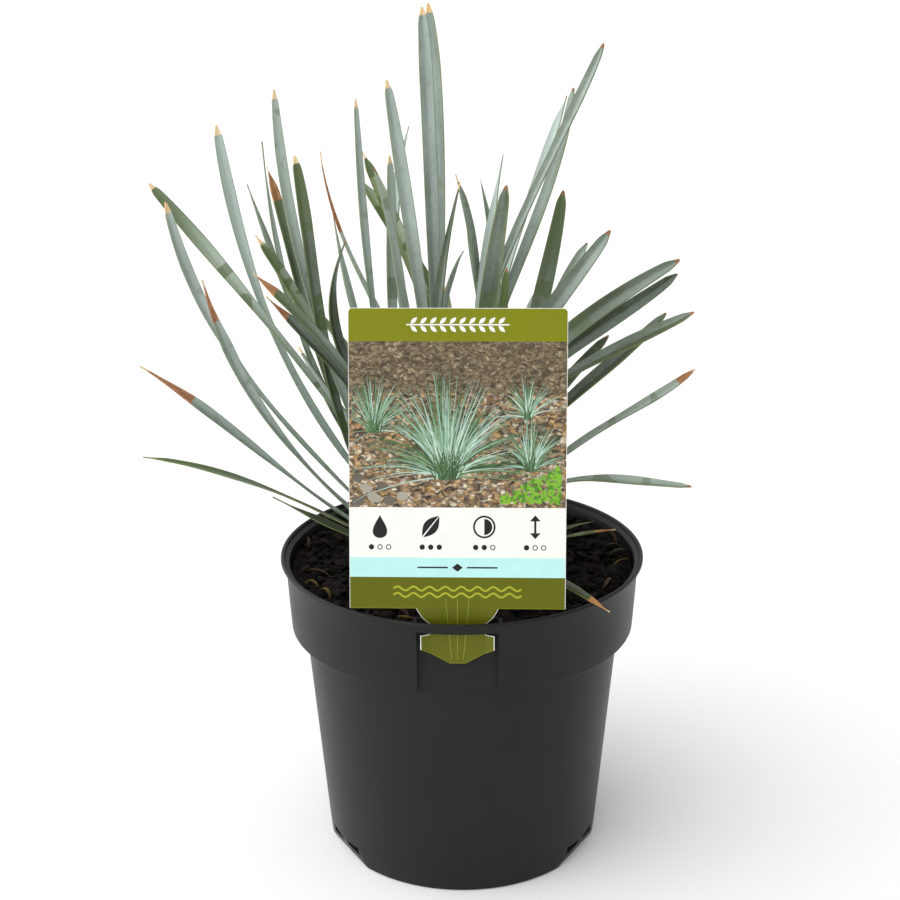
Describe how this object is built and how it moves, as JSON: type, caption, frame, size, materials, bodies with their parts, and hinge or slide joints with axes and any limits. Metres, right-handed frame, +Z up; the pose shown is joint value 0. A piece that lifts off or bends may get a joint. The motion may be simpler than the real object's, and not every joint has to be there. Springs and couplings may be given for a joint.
{
  "type": "potted lomandra",
  "caption": "Tufted strap-leaved lomandra with blue-grey leaves, rooted in potting mix in a round black nursery pot with a plant label in its collar.",
  "frame": {"origin": "on the surface that the pot stands on, at the middle of the pot's base", "axes": "+Z up along the pot's axis; the label and its bay are on the -Y side; +X is to the right of someone who faces the label"},
  "size_m": [0.2232, 0.1816, 0.3472],
  "materials": {
    "pot": "satin moulded polypropylene, nearly black",
    "potting_mix": "damp composted bark with chips and crumbs",
    "label": "smooth printed plastic card",
    "leaf": "waxy blue-grey bloom over green, tan tips"
  },
  "bodies": {
    "root": {"pot": "pot", "potting_mix": "potting_mix", "plant_label": "label", "shoot_front_left": "leaf", "shoot_left": "leaf", "shoot_back_left": "leaf", "shoot_front": "leaf", "shoot_centre": "leaf", "shoot_back": "leaf", "shoot_back_right": "leaf", "shoot_right": "leaf", "shoot_front_right": "leaf"}
  },
  "joints": []
}
